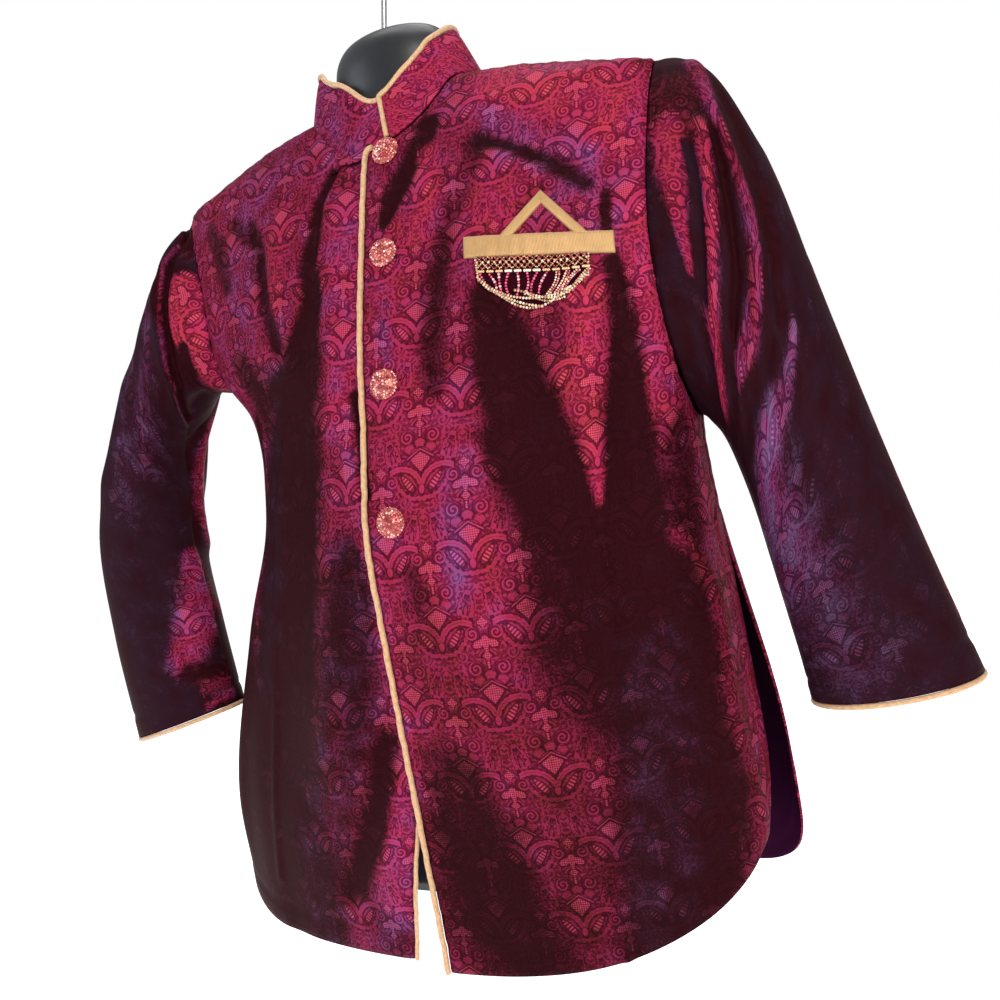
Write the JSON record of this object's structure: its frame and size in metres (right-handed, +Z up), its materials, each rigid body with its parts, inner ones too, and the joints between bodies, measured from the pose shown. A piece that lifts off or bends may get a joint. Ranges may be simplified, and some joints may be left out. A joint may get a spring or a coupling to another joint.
{
  "type": "sherwani coat on hanging torso form",
  "caption": "Child's brocade sherwani with stand collar, lapped front, jewelled pocket trim and side vents, worn by a limbless hanging torso form with a wire hook.",
  "frame": {"origin": "inside top of the hook's bend, where a rail carries it", "axes": "the coat faces -Y, the wearer's left is +X, up is +Z"},
  "size_m": [0.5979, 0.2162, 0.6837],
  "materials": {
    "brocade": "crimson and purple shot-silk brocade, lotus pattern",
    "gold_trim": "gold satin piping and ribbed band",
    "beadwork": "pink and gold beads with clear stones",
    "jewelled_buttons": "rose-gold domes set with small stones",
    "form": "black satin moulded plastic",
    "hook": "bright bent wire"
  },
  "bodies": {
    "root": {"left_front": "brocade", "right_front": "brocade", "back": "brocade", "left_sleeve": "brocade", "right_sleeve": "brocade", "collar": "brocade", "left_sleeve_piping": "gold_trim", "right_sleeve_piping": "gold_trim", "collar_piping": "gold_trim", "left_front_piping": "gold_trim", "right_front_piping": "gold_trim", "pocket_band": "gold_trim", "pocket_peak": "gold_trim", "brooch": "beadwork", "button_1": "jewelled_buttons", "button_2": "jewelled_buttons", "button_3": "jewelled_buttons", "button_4": "jewelled_buttons", "torso_form": "form", "hook": "hook"}
  },
  "joints": []
}
